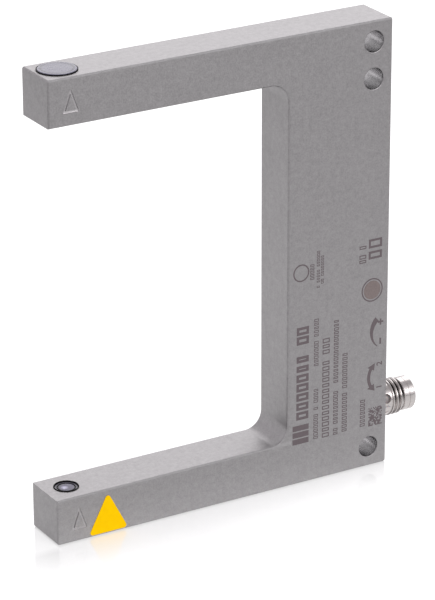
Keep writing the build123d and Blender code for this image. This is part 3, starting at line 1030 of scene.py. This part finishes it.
def cell_field_tree():
    """A field of small square cells, of which about two in five are left empty at random."""
    empty_share, cell_share = 0.38, 0.98
    tree, add, given, maths, finish = tree_tools("etched_cells", {
        "Middle": ("Vector", (0, 0, 0)),
        "Width": ("Float", 3 * mm),
        "Height": ("Float", 4 * mm),
        "Columns": ("Int", 12),
        "Rows": ("Int", 15),
        "Thickness": ("Float", 0.03 * mm),
        "Seed": ("Int", 1),
    })
    grid = add("GeometryNodeMeshGrid", {
        "Size X": given["Width"],
        "Size Y": given["Height"],
        "Vertices X": given["Columns"],
        "Vertices Y": given["Rows"],
    }).outputs[0]
    upright = add("GeometryNodeTransform", {
        "Geometry": grid, "Translation": given["Middle"], "Rotation": (math.radians(90), 0, 0),
    }).outputs[0]
    empty = add("FunctionNodeRandomValue", {
        "Probability": empty_share, "Seed": given["Seed"],
    }, data_type="BOOLEAN").outputs[3]
    filled = add("GeometryNodeDeleteGeometry", {"Geometry": upright, "Selection": empty}).outputs[0]
    across = maths("DIVIDE", given["Width"], maths("SUBTRACT", given["Columns"], 1.0))
    high = maths("DIVIDE", given["Height"], maths("SUBTRACT", given["Rows"], 1.0))
    size = add("ShaderNodeCombineXYZ", {
        "X": maths("MULTIPLY", across, cell_share),
        "Y": given["Thickness"],
        "Z": maths("MULTIPLY", high, cell_share),
    }).outputs[0]
    cube = add("GeometryNodeMeshCube", {"Size": (1, 1, 1)}).outputs[0]
    cells = add("GeometryNodeInstanceOnPoints", {
        "Points": filled, "Instance": cube, "Scale": size,
    }).outputs[0]
    finish(cells)
    return tree


def etched_rows():
    """Rows of open rectangles where the housing carries its engraving, and a field of cells."""
    tree = frame_row_tree()
    rows = [
        # middle X, lowest Z, length, height, pitch, stroke, seed
        (18.7, 14.6, 23.6, 3.0, 2.15, 0.62, 3),
        (22.05, 9.4, 12.0, 1.1, 0.84, 0.17, 5),
        (22.05, 26.2, 12.0, 1.1, 0.84, 0.17, 8),
        (24.5, 9.2, 23.2, 1.75, 1.28, 0.24, 12),
        (27.0, 9.2, 27.6, 1.15, 0.86, 0.19, 17),
        (29.25, 9.4, 18.4, 1.25, 0.92, 0.19, 23),
        (20.9, 46.0, 3.7, 1.0, 0.72, 0.16, 29),
        (22.4, 43.9, 8.5, 0.75, 0.6, 0.13, 31),
        (23.4, 44.7, 6.9, 0.7, 0.58, 0.13, 37),
        (33.4, 47.0, 5.3, 1.7, 1.06, 0.22, 42),
        (33.85, 9.5, 6.8, 1.25, 0.92, 0.2, 44),
        (36.5, 47.3, 5.2, 3.3, 2.6, 0.5, 50),
    ]
    meshes = []
    for middle, low, length, height, pitch, stroke, seed in rows:
        meshes.append(evaluated(tree, {
            "Start": (middle * mm, etch_level * mm, low * mm),
            "Length": length * mm,
            "Height": height * mm,
            "Pitch": pitch * mm,
            "Stroke": stroke * mm,
            "Thickness": etch_thickness * mm,
            "Seed": seed,
            "Material": etched,
        }, "etched_row"))
    meshes.append(evaluated(cell_field_tree(), {
        "Middle": (cell_middle[0] * mm, etch_level * mm, cell_middle[1] * mm),
        "Width": cell_field[0] * mm,
        "Height": cell_field[1] * mm,
        "Thickness": etch_thickness * mm,
        "Seed": cell_seed,
        "Material": etched,
    }, "etched_cells"))
    piece("etched_rows", joined(meshes, "etched_rows"), etched, "housing_steel")


def circle(x, z, radius):
    """Points of a circle on the front face."""
    turns = [2 * math.pi * step / circle_steps for step in range(circle_steps)]
    return [(x + radius * math.cos(turn), z + radius * math.sin(turn)) for turn in turns]


def ring(x, z, outer, inner):
    """Outlines that together make a flat ring."""
    rim, bore = circle(x, z, outer), circle(x, z, inner)
    return [[rim[step - 1], rim[step], bore[step], bore[step - 1]] for step in range(circle_steps)]


def etched_fields():
    """A pale disc in a ring, a plain ring, and a block of bars at the foot of the large row."""
    outlines = ring(*disc_middle, *disc_ring) + ring(*plain_ring_middle, *plain_ring)
    outlines += [bar(*sides) for sides in block_bars]
    piece("etched_fields", flat_solid(outlines, "etched_fields"), etched, "housing_steel")
    disc = circle(*disc_middle, disc_radius)
    piece("etched_disc", flat_solid([disc], "etched_disc"), faint, "housing_steel")


def floor():
    """White floor with a soft shadow and a faint mirror image by the foot.

    Part of the shadow is painted: the glow is dimmer by the foot and clears sooner under the web, and light
    is painted past the tip of the arm.
    """
    white = (1, 1, 1, 1)
    material = bpy.data.materials.new("studio_floor")
    material.use_nodes = True
    tree = material.node_tree
    tree.nodes.clear()
    add, maths, plain_ramp = node_maker(tree)

    def ramp(value, start, end, low, high):
        return plain_ramp(value, start * mm, end * mm, low, high)

    place = add("ShaderNodeSeparateXYZ", {0: add("ShaderNodeTexCoord").outputs["Object"]}).outputs
    beside = maths("MAXIMUM", maths("SUBTRACT", maths("ABSOLUTE", place["X"]), foot_half_length * mm))
    ahead = maths("MAXIMUM", maths("SUBTRACT", maths("ABSOLUTE", place["Y"]), foot_half_width * mm))
    flat = add("ShaderNodeCombineXYZ", {"X": beside, "Y": ahead}).outputs[0]
    away = add("ShaderNodeVectorMath", {0: flat}, operation="LENGTH").outputs["Value"]

    rays = add("ShaderNodeLightPath").outputs
    direct = maths("MAXIMUM", rays["Is Camera Ray"], rays["Is Transmission Ray"])
    # Painted shadow and light: the camera's glow dims by the foot, clears sooner under the web, and is
    # raised past the tip
    sooner = ramp(place["X"], *web_span, 1.0, web_clearing)
    near = ramp(maths("MULTIPLY", away, sooner), 0, shadow_reach, painted_shadow_glow, open_floor_glow)
    beyond = ramp(place["X"], *tip_blend, 0.0, 1.0)
    level_with = ramp(place["Y"], -foot_half_width - tip_side_fade, -foot_half_width, 0.0, 1.0)
    fading = ramp(place["X"], -foot_half_length, -foot_half_length - tip_reach, tip_light, 0.0)
    tip = maths("MULTIPLY", maths("MULTIPLY", beyond, level_with), fading)
    seen = maths("MULTIPLY", direct, maths("ADD", near, tip))
    behind = ramp(place["Y"], -mirror_span, mirror_span, 0.0, mirror_rise)
    mirrored = ramp(away, 0, mirror_reach, mirror_glow, mirror_glow - mirror_fall)
    mirrored = maths("ADD", maths("MINIMUM", mirrored, mirror_limit), behind)
    mirrored = maths("MULTIPLY", rays["Is Glossy Ray"], mirrored)
    bounced = maths("MULTIPLY", rays["Is Diffuse Ray"], floor_bounce)
    strength = maths("ADD", maths("ADD", seen, mirrored), bounced)
    glow = add("ShaderNodeEmission", {"Color": white, "Strength": strength}).outputs[0]
    matt = add("ShaderNodeBsdfDiffuse", {"Color": (floor_shade, floor_shade, floor_shade, 1)}).outputs[0]
    mirror = add("ShaderNodeBsdfGlossy", {"Color": white, "Roughness": polish_roughness}).outputs[0]
    # Rays that light the object see half the polish, so that its glare stays off the fronts
    share = maths("MULTIPLY", maths("ADD", direct, 1.0), 0.5)
    polish = maths("MULTIPLY", ramp(away, 0, polish_reach, floor_polish, 0.0), share)
    surface = add("ShaderNodeMixShader", {0: polish, 1: matt, 2: mirror}).outputs[0]
    total = add("ShaderNodeAddShader", {0: surface, 1: glow}).outputs[0]
    add("ShaderNodeOutputMaterial", {"Surface": total})
    mesh = bpy.data.meshes.new("floor")
    corners = [(x * floor_reach, y * floor_reach, 0) for x, y in ((-1, -1), (1, -1), (1, 1), (-1, 1))]
    mesh.from_pydata(corners, [], [(0, 1, 2, 3)])
    mesh.materials.append(material)
    in_scene("floor", mesh)


def studio_world():
    """Bright walls, grey overhead, a dark line at the horizon in front, white behind the object."""
    world = bpy.data.worlds.new("studio")
    world.use_nodes = True
    tree = world.node_tree
    tree.nodes.clear()
    add, maths, ramp = node_maker(tree)
    way = add("ShaderNodeSeparateXYZ", {0: add("ShaderNodeTexCoord").outputs["Generated"]}).outputs
    by_height = add("ShaderNodeValToRGB", {0: way["Z"]})
    elements = by_height.color_ramp.elements
    while len(elements) < len(wall_levels):
        elements.new(0.5)
    for element, (place, level) in zip(elements, wall_levels):
        element.position = place
        element.color = (level, level * wall_green, level, 1)
    edge = ramp(way["Z"], 0.0, horizon_height, horizon_level, 1.0, interpolation_type="SMOOTHSTEP")
    line = maths("MAXIMUM", edge, ramp(way["Y"], *front_span, 0.0, 1.0))
    walls = add("ShaderNodeBackground", {"Color": by_height.outputs[0], "Strength": line}).outputs[0]
    white = add("ShaderNodeBackground", {"Color": (1, 1, 1, 1), "Strength": 1.0}).outputs[0]
    rays = add("ShaderNodeLightPath").outputs
    direct = maths("MAXIMUM", rays["Is Camera Ray"], rays["Is Transmission Ray"])
    both = add("ShaderNodeMixShader", {0: direct, 1: walls, 2: white}).outputs[0]
    add("ShaderNodeOutputWorld", {"Surface": both})
    bpy.context.scene.world = world


def soft_lamp(name, place, size, power):
    """A square studio lamp that points at the object."""
    lamp = bpy.data.lights.new(name, "AREA")
    lamp.shape = "SQUARE"
    lamp.size = size
    lamp.energy = power
    made = in_scene(name, lamp)
    made.location = place
    made.rotation_euler = (Vector(lamp_aim) - Vector(place)).to_track_quat("-Z", "Y").to_euler()


def place_camera():
    """The photo's viewpoint."""
    azimuth, elevation = math.radians(view_azimuth), math.radians(view_elevation)
    back = Vector((
        math.sin(azimuth) * math.cos(elevation),
        -math.cos(azimuth) * math.cos(elevation),
        math.sin(elevation),
    ))
    data = bpy.data.cameras.new("photo_view")
    data.lens = view_lens
    data.sensor_width = view_sensor
    data.clip_start = view_clip
    camera = in_scene("photo_view", data)
    turn = (-back).to_track_quat("-Z", "Y").to_matrix().to_4x4()
    roll = Matrix.Rotation(math.radians(view_roll), 4, "Z")
    camera.matrix_world = Matrix.Translation((Vector(view_aim) + back * view_distance) * mm) @ turn @ roll
    bpy.context.scene.camera = camera


etched = etched_ink("etched_ink", linear(102, 93, 96))
faint = etched_ink("faint_ink", linear(123, 112, 110))
dress_solids()
smooth_copies()
threaded_shell()
window_lips()
barrel_shade_rings()
adjuster_marks()
etched_rows()
etched_fields()
floor()
studio_world()
for lamp in lamps:
    soft_lamp(*lamp)
place_camera()
bpy.context.scene.view_settings.view_transform = "Standard"
